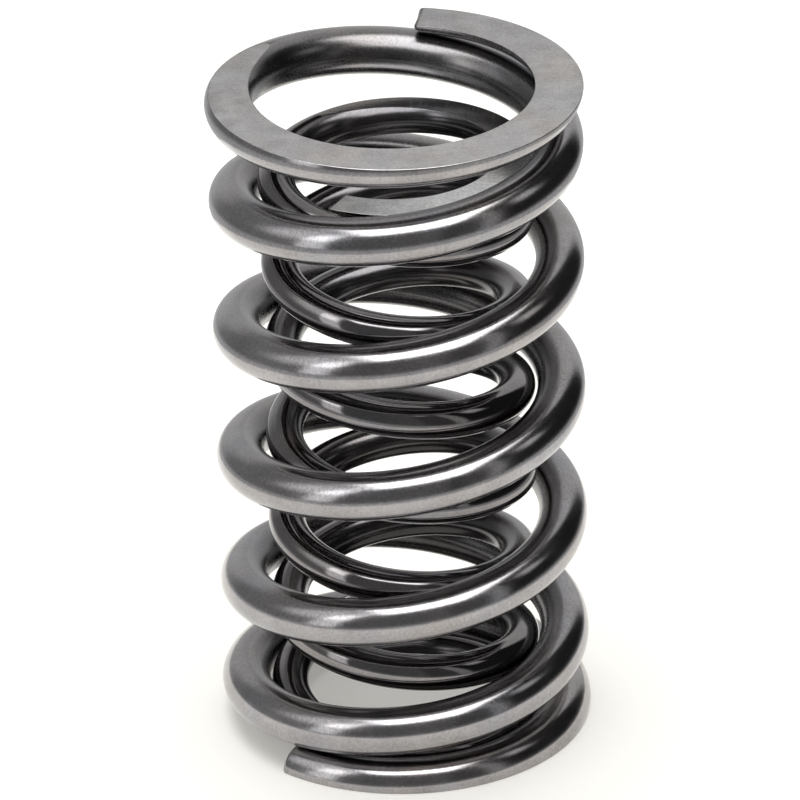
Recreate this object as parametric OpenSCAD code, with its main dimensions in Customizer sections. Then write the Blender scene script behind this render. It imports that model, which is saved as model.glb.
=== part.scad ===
// Dual engine valve spring: two compression springs, one standing inside the other on the same seat.
// The outer one is wound right-handed and the inner one left-handed, so that their coils cannot lock.
// The end coils of both are closed, and ground flat square to the axis, down to a thin tip.
// Z is the axis, Z = 0 is the seat that both stand on, and angles are counted from +X towards +Y.

/* [Outer spring] */
// Diameter of the outer spring's wire
outer_wire_d = 4.85; // [4.5:0.05:4.9]
// Mean diameter of the outer spring's coils
outer_coil_d = 32.4; // [32.4:0.1:34]
// Free length of the outer spring
outer_length = 69.7; // [68.5:0.1:80]
// Coils of the outer spring, from tip to tip
outer_coils = 6.595; // [6.2:0.005:6.7]
// Angle of the outer spring's lower tip
outer_start = 227; // [0:1:359]
// Thickness that grinding leaves at the outer spring's lower tip
outer_lower_tip = 2.3; // [1.5:0.1:2.3]
// Thickness that grinding leaves at the outer spring's upper tip
outer_upper_tip = 1.5; // [1.2:0.1:1.5]

/* [Inner spring] */
// Diameter of the inner spring's wire
inner_wire_d = 3.7; // [3.2:0.05:3.75]
// Mean diameter of the inner spring's coils
inner_coil_d = 23.5; // [21:0.1:23.5]
// Free length of the inner spring
inner_length = 62.3; // [58:0.1:69]
// Coils of the inner spring, from tip to tip
inner_coils = 7.7; // [7:0.05:8.2]
// Angle of the inner spring's lower tip
inner_start = 132; // [0:1:359]
// Thickness that grinding leaves at the inner spring's lower tip
inner_lower_tip = 1.2; // [0.9:0.1:1.3]
// Thickness that grinding leaves at the inner spring's upper tip
inner_upper_tip = 1.2; // [0.9:0.1:1.3]

/* [Coiling] */
// Rise in each turn of both springs' closed coils at the seat
seat_pitch = 2; // [1.9:0.1:2.2]
// Rise in each turn of the outer spring's closed coil at its upper end
outer_upper_pitch = 2.8; // [2.8:0.1:3.2]
// Rise in each turn of the inner spring's closed coil at its upper end
inner_upper_pitch = 3.6; // [3.4:0.1:3.8]
// Growth of the end coils' mean radius over the middle ones
end_growth = 0.15; // [0:0.05:0.15]

/* [Hidden] */

// How the ends open, lower end first: the rise in each turn while closed, then one or two stages, each with
// its share of the way to the full pitch, the turns from the tip at which it starts, and the turns it takes.
outer_ends = [[seat_pitch, [[1, 0.25, 2.05]]], [outer_upper_pitch, [[0.61, 0.63, 0.2], [0.39, 1.35, 0.6]]]];
inner_ends = [[seat_pitch, [[1, 0.45, 0.5]]], [inner_upper_pitch, [[1, 0.75, 0.4]]]];

// Turns over which the end coils' radius comes back to that of the middle ones.
growth_turns = 1.6;
// Facets: steps along each turn and sides of the wire.
outer_steps = 30;
outer_sides = 16;
inner_steps = 28;
inner_sides = 12;
// Reach of the grinding block past the spring.
margin = 5;

// Share that a stage of opening has reached, x going from 0 to 1 over it, and the same share summed from 0 to x.
function opened(x) = x <= 0 ? 0 : x < 1 ? x * (2 - x) : 1;
function opened_sum(x) = x <= 0 ? 0 : x < 1 ? pow(x, 2) - pow(x, 3) / 3 : x - 1 / 3;
function total(list) = list * [for (item = list) 1];
// Share of the full pitch that an end has reached, a number of turns from its tip.
function opened_share(stages, turns) =
    total([for (stage = stages) stage[0] * opened((turns - stage[1]) / stage[2])]);
// Turns at the full pitch that an end has lost to its closed pitch, over the turns from its tip.
function turns_lost(stages, turns) =
    turns - total([for (stage = stages) stage[0] * stage[2] * opened_sum((turns - stage[1]) / stage[2])]);
// Smooth step from 0 to 1.
function smooth(x) = x <= 0 ? 0 : x < 1 ? pow(x, 2) * (3 - 2 * x) : 1;

// A right-hand spring of round wire, wound up from its lower tip and then ground flat at both ends.
module ground_spring(wire_d, coil_d, length, coils, start, tips, ends, steps, sides) {
    wire_r = wire_d / 2;
    // Heights of the wire's centre at the two tips, and the full pitch that takes it from one to the other.
    lower_z = tips[0] - wire_r;
    upper_z = length - tips[1] + wire_r;
    pitches = [ends[0][0], ends[1][0]];
    losses = [turns_lost(ends[0][1], coils), turns_lost(ends[1][1], coils)];
    open_pitch = (upper_z - lower_z - pitches * losses) / (coils - total(losses));

    // What an end's closed coils keep back from the full pitch: in the rise, and in all from the end's tip.
    function slope_kept(end, turns) = (open_pitch - pitches[end]) * (1 - opened_share(ends[end][1], turns));
    function height_kept(end, turns) = (open_pitch - pitches[end]) * turns_lost(ends[end][1], turns);

    // Height, rise per turn, radius and lead of the wire's centre, a number of turns from the lower tip.
    function height(turn) =
        let (low = height_kept(0, turn), high = height_kept(1, coils) - height_kept(1, coils - turn))
        lower_z + open_pitch * turn - low - high;
    function rise(turn) = open_pitch - slope_kept(0, turn) - slope_kept(1, coils - turn);
    function radius(turn) =
        coil_d / 2 + end_growth * (smooth(growth_turns - turn) + smooth(turn - coils + growth_turns));
    function lead(turn) = atan(rise(turn) / (2 * PI * radius(turn)));

    // A point on the wire's skin: round is the angle about the wire, from its outward side upwards.
    function skin(turn, round) =
        let (angle = start + 360 * turn, out = radius(turn) + wire_r * cos(round))
        let (up = wire_r * sin(round) * cos(lead(turn)), back = wire_r * sin(round) * sin(lead(turn)))
        [out * cos(angle) + back * sin(angle), out * sin(angle) - back * cos(angle), height(turn) + up];

    rings = round(coils * steps);
    points = [
        for (ring = [0 : rings], side = [0 : sides - 1])
            skin(coils * ring / rings, -360 * side / sides)
    ];
    lower_end = [for (side = [0 : sides - 1]) side];
    upper_end = [for (side = [sides - 1 : -1 : 0]) rings * sides + side];
    wall = [
        for (ring = [0 : rings - 1], side = [0 : sides - 1])
            let (here = ring * sides, above = here + sides, next = (side + 1) % sides)
            [here + side, above + side, above + next, here + next]
    ];

    // The grinding block keeps what lies between the two ground planes.
    block_side = coil_d + wire_d + 2 * margin;
    intersection() {
        polyhedron(points, concat([lower_end, upper_end], wall), convexity = 12);
        translate([-block_side / 2, -block_side / 2, 0]) cube([block_side, block_side, length]);
    }
}

module outer_spring() {
    color([0.42, 0.41, 0.43])
        ground_spring(outer_wire_d, outer_coil_d, outer_length, outer_coils, outer_start,
            [outer_lower_tip, outer_upper_tip], outer_ends, outer_steps, outer_sides);
}

// The left-hand spring is the mirror image of a right-hand one.
module inner_spring() {
    color([0.36, 0.35, 0.37])
        mirror([0, 1, 0])
            ground_spring(inner_wire_d, inner_coil_d, inner_length, inner_coils, -inner_start,
                [inner_lower_tip, inner_upper_tip], inner_ends, inner_steps, inner_sides);
}

outer_spring();
inner_spring();
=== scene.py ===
import math
import bpy
from mathutils import Matrix, Vector


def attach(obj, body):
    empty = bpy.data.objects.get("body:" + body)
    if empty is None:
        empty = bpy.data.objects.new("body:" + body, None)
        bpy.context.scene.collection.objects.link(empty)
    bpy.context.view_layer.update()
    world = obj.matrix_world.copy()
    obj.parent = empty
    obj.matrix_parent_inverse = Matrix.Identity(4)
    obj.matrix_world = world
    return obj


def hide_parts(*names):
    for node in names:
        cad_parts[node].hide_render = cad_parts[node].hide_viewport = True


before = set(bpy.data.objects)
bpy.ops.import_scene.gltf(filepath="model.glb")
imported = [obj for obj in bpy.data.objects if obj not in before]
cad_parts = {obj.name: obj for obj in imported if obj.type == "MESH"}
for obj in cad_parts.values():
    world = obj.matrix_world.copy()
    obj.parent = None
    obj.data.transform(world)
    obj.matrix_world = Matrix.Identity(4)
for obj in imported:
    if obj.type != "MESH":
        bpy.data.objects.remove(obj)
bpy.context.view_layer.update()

mm = 0.001


# Formulas in node trees

class Number:  # a socket that counts as a number, so that a formula reads as arithmetic
    def __init__(self, tree, socket):
        self.tree, self.socket = tree, socket

    def __add__(self, other): return calculate(self.tree, "ADD", self, other)
    def __radd__(self, other): return calculate(self.tree, "ADD", other, self)
    def __sub__(self, other): return calculate(self.tree, "SUBTRACT", self, other)
    def __rsub__(self, other): return calculate(self.tree, "SUBTRACT", other, self)
    def __mul__(self, other): return calculate(self.tree, "MULTIPLY", self, other)
    def __rmul__(self, other): return calculate(self.tree, "MULTIPLY", other, self)
    def __truediv__(self, other): return calculate(self.tree, "DIVIDE", self, other)
    def __rtruediv__(self, other): return calculate(self.tree, "DIVIDE", other, self)
    def __lt__(self, other): return calculate(self.tree, "LESS_THAN", self, other)
    def __gt__(self, other): return calculate(self.tree, "GREATER_THAN", self, other)


def calculate(tree, operation, *values):
    node = tree.nodes.new("ShaderNodeMath")
    node.operation = operation
    for slot, value in zip(node.inputs, values):
        if isinstance(value, Number):
            tree.links.new(value.socket, slot)
        else:
            slot.default_value = value
    return Number(tree, node.outputs[0])


def sine(x): return calculate(x.tree, "SINE", x)
def cosine(x): return calculate(x.tree, "COSINE", x)
def arcSine(x): return calculate(x.tree, "ARCSINE", x)
def arcTangent(x): return calculate(x.tree, "ARCTANGENT", x)
def root(x): return calculate(x.tree, "SQRT", x)
def whole(x): return calculate(x.tree, "FLOOR", x)
def magnitude(x): return calculate(x.tree, "ABSOLUTE", x)
def least(x, y): return calculate(x.tree, "MINIMUM", x, y)
def most(x, y): return calculate(x.tree, "MAXIMUM", x, y)
def within(x, low, high): return least(most(x, low), high)
def blend(x, y, share): return x + (y - x) * share


# Springs

bar = {  # how finely the wire is meshed, and how its edges are broken
    "halfSides": 32,        # faces from the top of the wire to its bottom, on each side
    "edgeFaces": 7,         # of these, the faces from the middle of a ground face to past its broken edge
    "edgeRound": 0.07 * mm,  # rounding that deburring leaves along a ground face
    "support": 0.02 * mm,   # narrow face beside each rounding, which keeps its shading crisp
    "leastFlat": 0.25 * mm,  # half width that the ground face's points keep where nothing is ground
    "deepest": -0.97,       # how far a ground plane may go past the wire's middle, in wire radii
    "endRings": 9,          # rings that close each cut end
    "rimRings": 5,          # of these, the rings of its rounded rim
    "endRound": 0.4 * mm,   # rounding of the cut end's rim
}
outerSpring = {
    "Wire Radius": 2.425 * mm, "Coil Radius": 16.2 * mm, "Length": 69.7 * mm, "Coils": 6.595,
    "Start": 227.0, "Hand": 1.0, "Lower Tip": 2.3 * mm, "Upper Tip": 1.5 * mm,
    "Lower Pitch": 2.0 * mm, "Lower Closed": 0.25, "Lower Opening": 2.05,
    "Upper Pitch": 2.8 * mm, "Upper Closed": 0.63, "Upper Opening": 0.2,
    "Late Share": 0.39, "Late Closed": 1.35, "Late Opening": 0.6,  # the upper end opens in two stages
    "End Growth": 0.15 * mm, "Growth Turns": 1.6, "Rings": 1360,
}
innerSpring = {
    "Wire Radius": 1.85 * mm, "Coil Radius": 11.75 * mm, "Length": 62.3 * mm, "Coils": 7.7,
    "Start": 132.0, "Hand": -1.0, "Lower Tip": 1.2 * mm, "Upper Tip": 1.2 * mm,
    "Lower Pitch": 2.0 * mm, "Lower Closed": 0.45, "Lower Opening": 0.5,
    "Upper Pitch": 3.6 * mm, "Upper Closed": 0.75, "Upper Opening": 0.4,
    "Late Share": 0.0, "Late Closed": 1.35, "Late Opening": 0.6,
    "End Growth": 0.15 * mm, "Growth Turns": 1.6, "Rings": 1240,
}


def opened(x):  # share that a stage of opening has reached, x going from 0 to 1 over it
    part = within(x, 0, 1)
    return part * (2 - part)


def openedSum(x):  # the same share, summed from 0 to x
    part = within(x, 0, 1)
    return part * part - part * part * part / 3 + most(x - 1, 0)


def smooth(x):  # smooth step from 0 to 1
    part = within(x, 0, 1)
    return part * part * (3 - 2 * part)


def stages(values, end, turns):  # share, place and length of each stage in which an end opens
    first = (turns - values[end + " Closed"]) / values[end + " Opening"]
    if end == "Lower":
        return ((1, first, values["Lower Opening"]),)
    late, lateOpening = values["Late Share"], values["Late Opening"]
    second = (turns - values["Late Closed"]) / lateOpening
    return ((1 - late, first, values["Upper Opening"]), (late, second, lateOpening))


def openedShare(values, end, turns):  # share of the full pitch that an end has reached, turns from its tip
    return sum(share * opened(x) for share, x, _ in stages(values, end, turns))


def turnsLost(values, end, turns):  # what its closed pitch costs an end, in turns at the full pitch
    return turns - sum(share * over * openedSum(x) for share, x, over in stages(values, end, turns))


def centreLine(values, turn):  # the wire's height, rise per turn and coil radius, in turns from the lower tip
    wire, coils = values["Wire Radius"], values["Coils"]
    lowCentre = values["Lower Tip"] - wire
    highCentre = values["Length"] - values["Upper Tip"] + wire
    lowLoss, highLoss = turnsLost(values, "Lower", coils), turnsLost(values, "Upper", coils)
    closedHeight = values["Lower Pitch"] * lowLoss + values["Upper Pitch"] * highLoss
    openPitch = (highCentre - lowCentre - closedHeight) / (coils - lowLoss - highLoss)
    lowKept, highKept = openPitch - values["Lower Pitch"], openPitch - values["Upper Pitch"]
    height = (lowCentre + openPitch * turn - lowKept * turnsLost(values, "Lower", turn)
              - highKept * (highLoss - turnsLost(values, "Upper", coils - turn)))
    rise = (openPitch - lowKept * (1 - openedShare(values, "Lower", turn))
            - highKept * (1 - openedShare(values, "Upper", coils - turn)))
    growthTurns = values["Growth Turns"]
    growth = values["End Growth"] * (smooth(growthTurns - turn) + smooth(turn - coils + growthTurns))
    return height, rise, values["Coil Radius"] + growth


def groundSection(wire, column, toTop, toBottom):  # a circle cut by both ground planes, with rounded edges
    half, edgeFaces = bar["halfSides"], bar["edgeFaces"]
    step = half - magnitude(column - half)         # 0 at the top of the wire, half at its bottom
    inwards = column > half
    below = step > half / 2
    fromPole = blend(step, half - step, below)
    toPlane = blend(toTop, toBottom, below)
    mostCut = root(wire * wire - bar["leastFlat"] ** 2)

    def cutAngle(distance):
        return arcSine(within(distance, wire * bar["deepest"], mostCut) / wire)

    # Past the flat's own faces come a narrow face, two faces of the rounding and another narrow face.
    edge, support, flatFaces = bar["edgeRound"], bar["support"], edgeFaces - 4
    corner = cutAngle(toPlane)
    cornerX, cornerY = wire * cosine(corner), wire * sine(corner)
    flatShare = within(fromPole / flatFaces, 0, 1)
    pastFlat = within(fromPole - flatFaces, 0, 1)
    flatX = flatShare * (cornerX - edge - support) + pastFlat * support
    flatY = least(toPlane, root(wire * wire - flatX * flatX))
    skinAngle = corner - edge / wire
    skinX, skinY = wire * cosine(skinAngle), wire * sine(skinAngle)
    middleX = cornerX * 0.5 + (flatX + skinX) * 0.25
    middleY = cornerY * 0.5 + (flatY + skinY) * 0.25
    topAngle = cutAngle(toTop) - (edge + support) / wire
    bottomAngle = (edge + support) / wire - cutAngle(toBottom)
    along = within((step - edgeFaces) / (half - 2 * edgeFaces), 0, 1)
    roundAngle = blend(topAngle, bottomAngle, along)
    pole = 1 - 2 * below
    onMiddle, onSkin = fromPole > flatFaces + 1.5, fromPole > flatFaces + 2.5
    onRound = fromPole > flatFaces + 3.5
    x = blend(blend(blend(flatX, middleX, onMiddle), skinX, onSkin), wire * cosine(roundAngle), onRound)
    y = blend(blend(blend(flatY, middleY, onMiddle), skinY, onSkin) * pole, wire * sine(roundAngle), onRound)
    onFlat = (fromPole < flatFaces + 1.5) * (toPlane < mostCut)
    return x * (1 - 2 * inwards), y, onFlat


def closeEnd(x, y, middle, endStep, bevelAngle):  # a rounded rim, then rings that close in on the middle
    reach = most(root(x * x + (y - middle) * (y - middle)), 0.01 * mm)
    closing = 1 - within((endStep - bar["rimRings"]) / (bar["endRings"] - bar["rimRings"]), 0, 1)
    shrink = (1 - bar["endRound"] * (1 - cosine(bevelAngle)) / reach) * closing
    return x * shrink, middle + (y - middle) * shrink


def joinVector(tree, parts):
    vector = tree.nodes.new("ShaderNodeCombineXYZ")
    for slot, part in zip(vector.inputs, parts):
        tree.links.new(part.socket, slot)
    return vector.outputs[0]


def makeSpringTree():
    tree = bpy.data.node_groups.new("groundSpring", "GeometryNodeTree")
    sockets = {}
    for name in outerSpring:
        kind = "NodeSocketInt" if name == "Rings" else "NodeSocketFloat"
        sockets[name] = tree.interface.new_socket(name, in_out="INPUT", socket_type=kind)
    sockets["Finish"] = tree.interface.new_socket("Finish", in_out="INPUT", socket_type="NodeSocketMaterial")
    tree.interface.new_socket("Geometry", in_out="OUTPUT", socket_type="NodeSocketGeometry")
    given = tree.nodes.new("NodeGroupInput")
    values = {name: Number(tree, given.outputs[name]) for name in outerSpring}
    wire, coils, rings, hand = (values[n] for n in ("Wire Radius", "Coils", "Rings", "Hand"))

    # A sheet of points: rows follow the wire, columns go round it from its top, outer side first.
    columns, endRings = 2 * bar["halfSides"] + 1, bar["endRings"]
    sheet = tree.nodes.new("GeometryNodeMeshGrid")
    sheet.inputs["Vertices Y"].default_value = columns
    tree.links.new((rings + 2 * endRings).socket, sheet.inputs["Vertices X"])
    index = Number(tree, tree.nodes.new("GeometryNodeInputIndex").outputs[0])
    row = whole((index + 0.5) / columns)
    column = index - row * columns
    ring = within(row - endRings, 0, rings - 1)
    endStep = magnitude(row - endRings - ring)     # rings past the wire's last full one

    # Turns from the lower tip, less what the rims of the cut ends take
    coilLength = values["Coil Radius"] * 2 * math.pi
    bevelTurn = bar["endRound"] / coilLength
    bevelAngle = within(endStep / bar["rimRings"], 0, 1) * (math.pi / 2)
    inset = bevelTurn * (1 - sine(bevelAngle))
    turn = inset + ring / (rings - 1) * (coils - 2 * inset)

    # The section at each ring, and the height of the two ground planes over its middle
    height, rise, radius = centreLine(values, turn)
    lead = arcTangent(rise / (radius * 2 * math.pi))
    toTop = (values["Length"] - height) / cosine(lead)
    toBottom = height / cosine(lead)
    x, y, onFlat = groundSection(wire, column, toTop, toBottom)
    middle = (least(toTop, wire) - least(toBottom, wire)) / 2
    x, y = closeEnd(x, y, middle, endStep, bevelAngle)

    # Place in the frame: a left-hand spring is the mirror image of a right-hand one
    angle = (values["Start"] * hand + turn * 360) * (math.pi / 180)
    out, back = radius + x, y * sine(lead)
    place = joinVector(tree, (out * cosine(angle) + back * sine(angle),
                              (out * sine(angle) - back * cosine(angle)) * hand,
                              height + y * cosine(lead)))
    placed = tree.nodes.new("GeometryNodeSetPosition")
    tree.links.new(sheet.outputs["Mesh"], placed.inputs["Geometry"])
    tree.links.new(place, placed.inputs["Position"])

    # What the finish reads: where the bar was ground, and each point's place along and across the bar
    ground = onFlat * (endStep < 0.5)
    barPlace = joinVector(tree, (turn * coilLength, x, y))
    shape = placed.outputs["Geometry"]
    attributes = (("groundFace", "FLOAT", ground.socket), ("barPlace", "FLOAT_VECTOR", barPlace))
    for name, kind, socket in attributes:
        store = tree.nodes.new("GeometryNodeStoreNamedAttribute")
        store.data_type, store.domain = kind, "POINT"
        store.inputs["Name"].default_value = name
        tree.links.new(shape, store.inputs["Geometry"])
        tree.links.new(socket, store.inputs["Value"])
        shape = store.outputs["Geometry"]

    merge = tree.nodes.new("GeometryNodeMergeByDistance")
    merge.inputs["Distance"].default_value = 0.001 * mm
    flip = tree.nodes.new("GeometryNodeFlipFaces")
    tree.links.new((hand > 0).socket, flip.inputs["Selection"])
    smoothShade = tree.nodes.new("GeometryNodeSetShadeSmooth")
    realize = tree.nodes.new("GeometryNodeRealizeInstances")
    finish = tree.nodes.new("GeometryNodeSetMaterial")
    tree.links.new(given.outputs["Finish"], finish.inputs["Material"])
    for node in (merge, flip, smoothShade, realize, finish):
        tree.links.new(shape, node.inputs[0])
        shape = node.outputs[0]
    result = tree.nodes.new("NodeGroupOutput")
    tree.links.new(shape, result.inputs[0])
    return tree, {name: socket.identifier for name, socket in sockets.items()}


def makeSpring(name, node, values, finish):
    carrier = bpy.data.objects.new(name + "Rule", bpy.data.meshes.new(name + "Rule"))
    bpy.context.scene.collection.objects.link(carrier)
    modifier = carrier.modifiers.new("groundSpring", "NODES")
    modifier.node_group = springTree
    for key, value in values.items():
        modifier[springInputs[key]] = value
    modifier[springInputs["Finish"]] = finish
    evaluated = carrier.evaluated_get(bpy.context.evaluated_depsgraph_get())
    mesh = bpy.data.meshes.new_from_object(evaluated)
    bpy.data.objects.remove(carrier)
    mesh.name = name
    spring = bpy.data.objects.new(name, mesh)
    bpy.context.scene.collection.objects.link(spring)
    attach(spring, "root")
    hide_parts(node)
    print(f"{name}: {sum(len(face.vertices) - 2 for face in mesh.polygons)} triangles")


# Finish

outerSteel = {  # the outer spring's wire: barrel-polished, a little cloudy
    # the darkening of each coil's inner side is painted shade
    "Tint": (0.318, 0.307, 0.312, 1), "Painted Inner Shade": 0.56, "Cloud": 0.55, "Grain": 0.70,
    "Roughness": 0.18, "Inner Roughness": 0.08,
    "Ground Tint": (0.380, 0.369, 0.366, 1), "Ground Roughness": 0.5,
    "Wire Radius": outerSpring["Wire Radius"],
}
innerSteel = {  # the inner spring's wire: smoother, and darker as painted shade for lying inside the outer spring
    # the darkening of each coil's inner side is painted shade
    "Tint": (0.205, 0.195, 0.199, 1), "Painted Inner Shade": 0.56, "Cloud": 0.55, "Grain": 0.60,
    "Roughness": 0.09, "Inner Roughness": 0.12,
    "Ground Tint": (0.600, 0.592, 0.584, 1), "Ground Roughness": 0.17,
    "Wire Radius": innerSpring["Wire Radius"],
}
relief = {"grain": 0.0008 * mm, "marks": 0.0010 * mm, "groundGrain": 0.0024 * mm, "grinding": 0.0040 * mm}
pattern = {  # how fine each pattern is, in repeats per metre, the same all round or along each axis
    "clouds": 260, "specks": 4200, "mottle": 520, "drift": 170,
    "marks": (90, 5200, 5200),      # long marks along the drawn bar
    "grinding": (420, 5200, 420),
    "hues": (0.08, -0.02, -0.16),   # how far red, green and blue drift, from violet to a warmer grey
    "innerSideEdge": 0.35, "innerSideFade": 1.2,  # where the inner side's painted shade and extra roughness start and how they deepen, in wire radii
}


def placeNoise(tree, place, scale, detail=2.0, stretch=(1, 1, 1)):  # noise from about -0.5 to 0.5
    stretched = tree.nodes.new("ShaderNodeVectorMath")
    stretched.operation = "MULTIPLY"
    stretched.inputs[1].default_value = stretch
    tree.links.new(place, stretched.inputs[0])
    noise = tree.nodes.new("ShaderNodeTexNoise")
    noise.inputs["Scale"].default_value = scale
    noise.inputs["Detail"].default_value = detail
    tree.links.new(stretched.outputs[0], noise.inputs["Vector"])
    return Number(tree, noise.outputs["Fac"]) - 0.5


def readAttribute(tree, name, output):
    node = tree.nodes.new("ShaderNodeAttribute")
    node.attribute_name = name
    return node.outputs[output]


def makeFinishGroup():  # spring steel: polished bar, painted shade on its inner side, and matt ground faces
    tree = bpy.data.node_groups.new("springFinish", "ShaderNodeTree")
    for name, value in outerSteel.items():
        kind = "NodeSocketColor" if isinstance(value, tuple) else "NodeSocketFloat"
        tree.interface.new_socket(name, in_out="INPUT", socket_type=kind)
    for name, kind in (("Color", "Color"), ("Roughness", "Float"), ("Height", "Float")):
        tree.interface.new_socket(name, in_out="OUTPUT", socket_type="NodeSocket" + kind)
    given, result = tree.nodes.new("NodeGroupInput"), tree.nodes.new("NodeGroupOutput")
    paintedInnerShade, cloud, grain, roughness, innerRoughness, groundRoughness, wire = (
        Number(tree, given.outputs[name]) for name in (
            "Painted Inner Shade", "Cloud", "Grain", "Roughness", "Inner Roughness", "Ground Roughness", "Wire Radius"))
    objectPlace = tree.nodes.new("ShaderNodeTexCoord").outputs["Object"]
    barPlace = readAttribute(tree, "barPlace", "Vector")
    ground = within(Number(tree, readAttribute(tree, "groundFace", "Fac")), 0, 1)
    parts = tree.nodes.new("ShaderNodeSeparateXYZ")
    tree.links.new(barPlace, parts.inputs[0])
    side = Number(tree, parts.outputs[1]) / wire          # 1 on the coil's outside, -1 on its inside

    clouds = placeNoise(tree, objectPlace, pattern["clouds"], 3)
    specks = placeNoise(tree, objectPlace, pattern["specks"], 2)
    marks = placeNoise(tree, barPlace, 1, 3, pattern["marks"])
    inner = smooth((pattern["innerSideEdge"] - side) / pattern["innerSideFade"])  # 1 on the coil's inside
    # painted shade darkens the coil's inner side; clouds and grain vary the tone at random
    barShade = (1 - paintedInnerShade * inner) * (1 + cloud * clouds + grain * specks)
    mottle = placeNoise(tree, objectPlace, pattern["mottle"], 4)
    grinding = placeNoise(tree, objectPlace, 1, 2, pattern["grinding"])
    groundShade = 1 + mottle * 0.5 + grinding * 0.25 + specks * 0.6
    drift = placeNoise(tree, objectPlace, pattern["drift"], 1)
    hues = joinVector(tree, [1 + drift * share for share in pattern["hues"]])

    def tinted(name, shade):
        hued, shaded = tree.nodes.new("ShaderNodeVectorMath"), tree.nodes.new("ShaderNodeVectorMath")
        hued.operation, shaded.operation = "MULTIPLY", "SCALE"
        tree.links.new(given.outputs[name], hued.inputs[0])
        tree.links.new(hues, hued.inputs[1])
        tree.links.new(hued.outputs[0], shaded.inputs[0])
        tree.links.new(shade.socket, shaded.inputs["Scale"])
        return shaded.outputs[0]

    mix = tree.nodes.new("ShaderNodeMix")
    mix.data_type = "RGBA"
    tree.links.new(ground.socket, mix.inputs["Factor"])
    tree.links.new(tinted("Tint", barShade), mix.inputs[6])
    tree.links.new(tinted("Ground Tint", groundShade), mix.inputs[7])
    barRough = (roughness + innerRoughness * inner) * (1 + clouds * 0.5 + marks * 0.35 + specks * 0.3)
    groundRough = groundRoughness * (1 + mottle * 0.3)
    height = blend(specks * relief["grain"] + marks * relief["marks"],
                   specks * relief["groundGrain"] + grinding * relief["grinding"], ground)
    tree.links.new(mix.outputs[2], result.inputs["Color"])
    tree.links.new(within(blend(barRough, groundRough, ground), 0.05, 1).socket, result.inputs["Roughness"])
    tree.links.new(height.socket, result.inputs["Height"])
    return tree


def makeSteel(name, values):
    steel = bpy.data.materials.new(name)
    steel.use_nodes = True
    tree = steel.node_tree
    shader = tree.nodes["Principled BSDF"]
    shader.inputs["Metallic"].default_value = 1
    finish = tree.nodes.new("ShaderNodeGroup")
    finish.node_tree = finishGroup
    for key, value in values.items():
        finish.inputs[key].default_value = value
    bump = tree.nodes.new("ShaderNodeBump")
    bump.inputs["Distance"].default_value = 1
    tree.links.new(finish.outputs["Color"], shader.inputs["Base Color"])
    tree.links.new(finish.outputs["Roughness"], shader.inputs["Roughness"])
    tree.links.new(finish.outputs["Height"], bump.inputs["Height"])
    tree.links.new(bump.outputs["Normal"], shader.inputs["Normal"])
    return steel


finishGroup = makeFinishGroup()
print("finish group built")
springTree, springInputs = makeSpringTree()
print(f"spring tree built: {len(springTree.nodes)} nodes")
makeSpring("outerSpring", "outer_spring", outerSpring, makeSteel("outerSpringSteel", outerSteel))
makeSpring("innerSpring", "inner_spring", innerSpring, makeSteel("innerSpringSteel", innerSteel))

# Camera

view = {  # found by fitting both helices to the photo
    "elevation": 27.49, "roll": -1.269, "distance": 0.895, "target": (-0.00006, 0, 0.03484), "lens": 401.0,
}


def makeCamera():
    lens = bpy.data.cameras.new("productCamera")
    lens.lens, lens.sensor_width = view["lens"], 36
    lens.clip_start, lens.clip_end = 0.05, 20
    camera = bpy.data.objects.new("productCamera", lens)
    bpy.context.scene.collection.objects.link(camera)
    tilt = math.radians(view["elevation"])
    place = Vector(view["target"]) + view["distance"] * Vector((0, -math.cos(tilt), math.sin(tilt)))
    turned = Matrix.Rotation(math.pi / 2 - tilt, 4, "X") @ Matrix.Rotation(math.radians(view["roll"]), 4, "Z")
    camera.matrix_world = Matrix.Translation(place) @ turned
    bpy.context.scene.camera = camera


makeCamera()
print(f"camera set: {view['distance']} m away, {view['elevation']} degrees up")

# Studio

studio = {
    "floorRadius": 2.5, "floorDrop": 0.02 * mm, "floorColour": (0.82, 0.805, 0.765),
    "floorGlow": 0.28, "mirroredGlow": 0.40, "floorWarmth": (1, 0.985, 0.93),  # what the floor adds when seen
    "roomLight": 0.4,       # what the white room adds to the floor's light
    "boxHeight": 0.65,      # height of the overhead softbox lamp; the box values below paint its highlight on the dome
    "paintedBoxSides": (-0.43, 0.46), "paintedBoxDepth": (-0.76, 0.25),  # edges of that painted highlight, as shares of that height
    "paintedBoxBrightness": 5.6, "paintedBoxSoftness": 0.22,
    "lampBrightness": 4.2, "lampSides": (-0.43, 0.36), "lampDepth": (-0.4, 0.6),
    "wallRadius": 0.21, "wallCentre": 0.035, "wallFoot": 0.0015,
    "wallLowest": -18.5, "wallHighest": 89.9, "wallColumns": 316, "wallRows": 165,
}
# Brightness painted on the glowing dome round the springs, seen from them, in degrees: 0 is towards the
# camera, positive to the right.
# Each panel has its from, to and softness, across and then upwards, and then its brightness. Panels further
# down the list cover those above them.
roomPanels = {
    "wall": ((-190, 190, 1), (-30, 90, 1), 0.31),
    "backLeft": ((-190, -140, 24), (-8, 26, 14), 0.64),
    "highBack": ((-190, -136, 20), (42, 90, 16), 0.65),
    "highLeft": ((-122, -40, 24), (56, 100, 20), 0.60),
    "backRight": ((138, 183, 10), (-8, 64, 20), 0.78),
    "rightFlag": ((57, 138, 8), (-8, 66, 22), 0.025),
    "rightGlint": ((74, 92, 8), (33, 49, 10), 0.9),
    "leftPanel": ((-92, -43, 26), (22, 56, 26), 1.25),
    "leftStrip": ((-61, -44, 4), (-6, 54, 10), 1.65),
    "leftStripTop": ((-61, -46, 4), (24, 44, 12), 3.6),
    "frontFlag": ((-43.5, 47, 3), (-5, 47, 17), 0.19),
    "frontCorner": ((22, 47, 6), (-5, 50, 14), 0.11),
    "rightStrip": ((47, 57, 2), (-5, 50, 10), 0.50),
    "farFloor": ((-190, 190, 1), (-40, -9, 8), 0.70),
}


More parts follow.
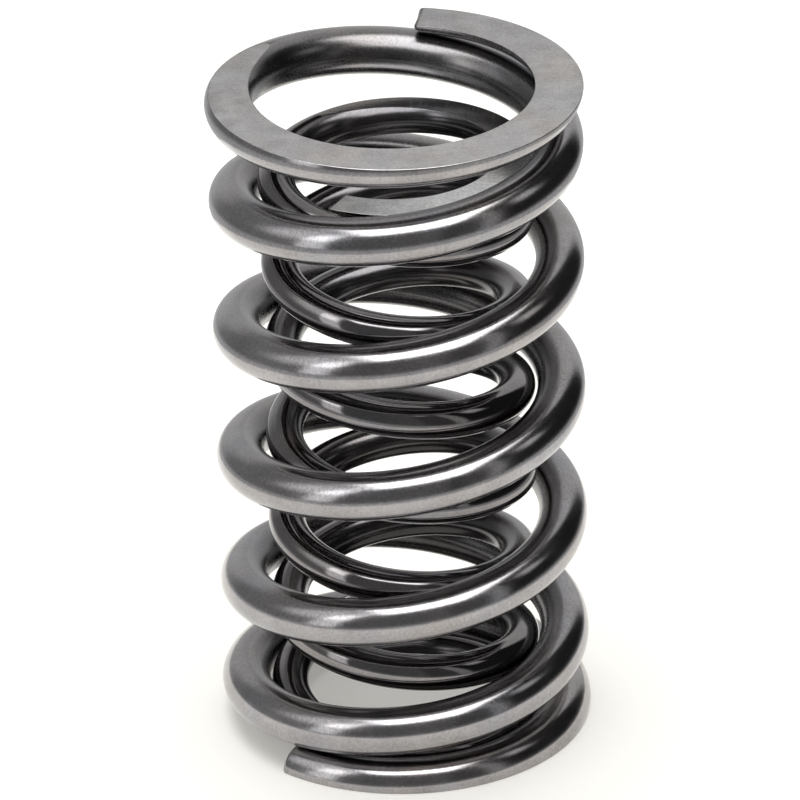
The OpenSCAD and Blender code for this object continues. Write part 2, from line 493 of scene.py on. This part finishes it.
def addSeen(tree, direct, mirrored):  # light that only shows to the camera, and to metal and glass
    path = tree.nodes.new("ShaderNodeLightPath")
    seen = Number(tree, path.outputs["Is Camera Ray"]) + Number(tree, path.outputs["Is Transmission Ray"])
    return least(seen, 1) * direct + Number(tree, path.outputs["Is Glossy Ray"]) * mirrored


def makeFloor():
    steps = 64
    reach, drop = studio["floorRadius"], studio["floorDrop"]
    angles = [2 * math.pi * step / steps for step in range(steps)]
    ring = [(reach * math.cos(angle), reach * math.sin(angle), -drop) for angle in angles]
    mesh = bpy.data.meshes.new("studioFloor")
    mesh.from_pydata(ring, [], [list(range(steps))])
    floor = bpy.data.objects.new("studioFloor", mesh)
    bpy.context.scene.collection.objects.link(floor)
    paper = bpy.data.materials.new("floorPaper")
    paper.use_nodes = True
    tree = paper.node_tree
    shader = tree.nodes["Principled BSDF"]
    shader.inputs["Base Color"].default_value = (*studio["floorColour"], 1)
    shader.inputs["Roughness"].default_value = 0.9
    shader.inputs["Specular IOR Level"].default_value = 0
    shader.inputs["Emission Color"].default_value = (*studio["floorWarmth"], 1)
    glow = addSeen(tree, studio["floorGlow"], studio["mirroredGlow"])
    tree.links.new(glow.socket, shader.inputs["Emission Strength"])
    mesh.materials.append(paper)


def makeRoom():
    world = bpy.data.worlds.new("whiteRoom")
    world.use_nodes = True
    bpy.context.scene.world = world
    tree = world.node_tree
    background = tree.nodes["Background"]
    background.inputs["Color"].default_value = (1, 1, 1, 1)
    unseen = 1 - studio["roomLight"]
    strength = studio["roomLight"] + addSeen(tree, unseen, unseen)
    tree.links.new(strength.socket, background.inputs["Strength"])


def fade(x, low, high, soft):  # 1 between low and high, with soft edges
    def edge(distance):
        share = min(max(distance / soft + 0.5, 0), 1)
        return share * share * (3 - 2 * share)
    return edge(x - low) * edge(high - x)


def wallBrightness(across, upwards):  # in degrees
    brightness = 0
    for (left, right, softAcross), (low, high, softUp), shade in roomPanels.values():
        cover = fade(across, left, right, softAcross) * fade(upwards, low, high, softUp)
        brightness += (shade - brightness) * cover
    # the softbox's painted highlight on the dome, which the steel shows in place of the lamp
    if upwards > 20:
        reach = 1 / math.tan(math.radians(upwards))
        x, y = reach * math.sin(math.radians(across)), -reach * math.cos(math.radians(across))
        soft = studio["paintedBoxSoftness"]
        cover = fade(x, *studio["paintedBoxSides"], soft) * fade(y, *studio["paintedBoxDepth"], soft)
        brightness += (studio["paintedBoxBrightness"] - brightness) * cover
    return brightness


def makeWalls():  # a dome of glowing panels, no lamp, that only shows in the polished steel as painted reflections
    lowest, highest = studio["wallLowest"], studio["wallHighest"]
    columns, rows = studio["wallColumns"], studio["wallRows"]
    points, glows = [], []
    for row in range(rows + 1):
        for column in range(columns + 1):
            upwards = lowest + (highest - lowest) * row / rows
            across = 180 * (2 * column / columns - 1)
            up, turn = math.radians(upwards), math.radians(across)
            reach = studio["wallRadius"]
            if upwards < 0:  # the foot of the dome turns in and lies just above the floor
                reach = min(reach, (studio["wallCentre"] - studio["wallFoot"]) / math.sin(-up))
            flat = reach * math.cos(up)
            points.append((flat * math.sin(turn), -flat * math.cos(turn),
                           studio["wallCentre"] + reach * math.sin(up)))
            glows.append(wallBrightness(across, upwards))
    wide = columns + 1
    faces = [(r * wide + c, r * wide + c + 1, (r + 1) * wide + c + 1, (r + 1) * wide + c)
             for r in range(rows) for c in range(columns)]
    mesh = bpy.data.meshes.new("studioWalls")
    mesh.from_pydata(points, [], faces)
    mesh.attributes.new("glow", "FLOAT", "POINT").data.foreach_set("value", glows)
    walls = bpy.data.objects.new("studioWalls", mesh)
    bpy.context.scene.collection.objects.link(walls)
    reflectionGlow = bpy.data.materials.new("paintedReflectionGlow")
    reflectionGlow.use_nodes = True
    tree = reflectionGlow.node_tree
    tree.nodes.remove(tree.nodes["Principled BSDF"])
    light = tree.nodes.new("ShaderNodeEmission")
    glow = tree.nodes.new("ShaderNodeAttribute")
    glow.attribute_name = "glow"
    tree.links.new(glow.outputs["Fac"], light.inputs["Strength"])
    tree.links.new(light.outputs[0], tree.nodes["Material Output"].inputs["Surface"])
    mesh.materials.append(reflectionGlow)
    walls.visible_camera = walls.visible_diffuse = walls.visible_shadow = walls.visible_transmission = False


def makeSoftbox():
    height = studio["boxHeight"]
    (left, right), (near, far) = studio["lampSides"], studio["lampDepth"]
    lamp = bpy.data.lights.new("overheadSoftbox", "AREA")
    lamp.shape, lamp.size, lamp.size_y = "RECTANGLE", (right - left) * height, (far - near) * height
    lamp.energy = studio["lampBrightness"] * math.pi * lamp.size * lamp.size_y
    softbox = bpy.data.objects.new("overheadSoftbox", lamp)
    bpy.context.scene.collection.objects.link(softbox)
    softbox.location = ((left + right) / 2 * height, (near + far) / 2 * height, height)
    # the steel sees the painted highlight on the dome instead of this lamp
    softbox.visible_glossy = False


makeFloor()
makeRoom()
makeWalls()
makeSoftbox()
print(f"studio built: {len(roomPanels)} panels")

bpy.context.scene.view_settings.view_transform = "Standard"
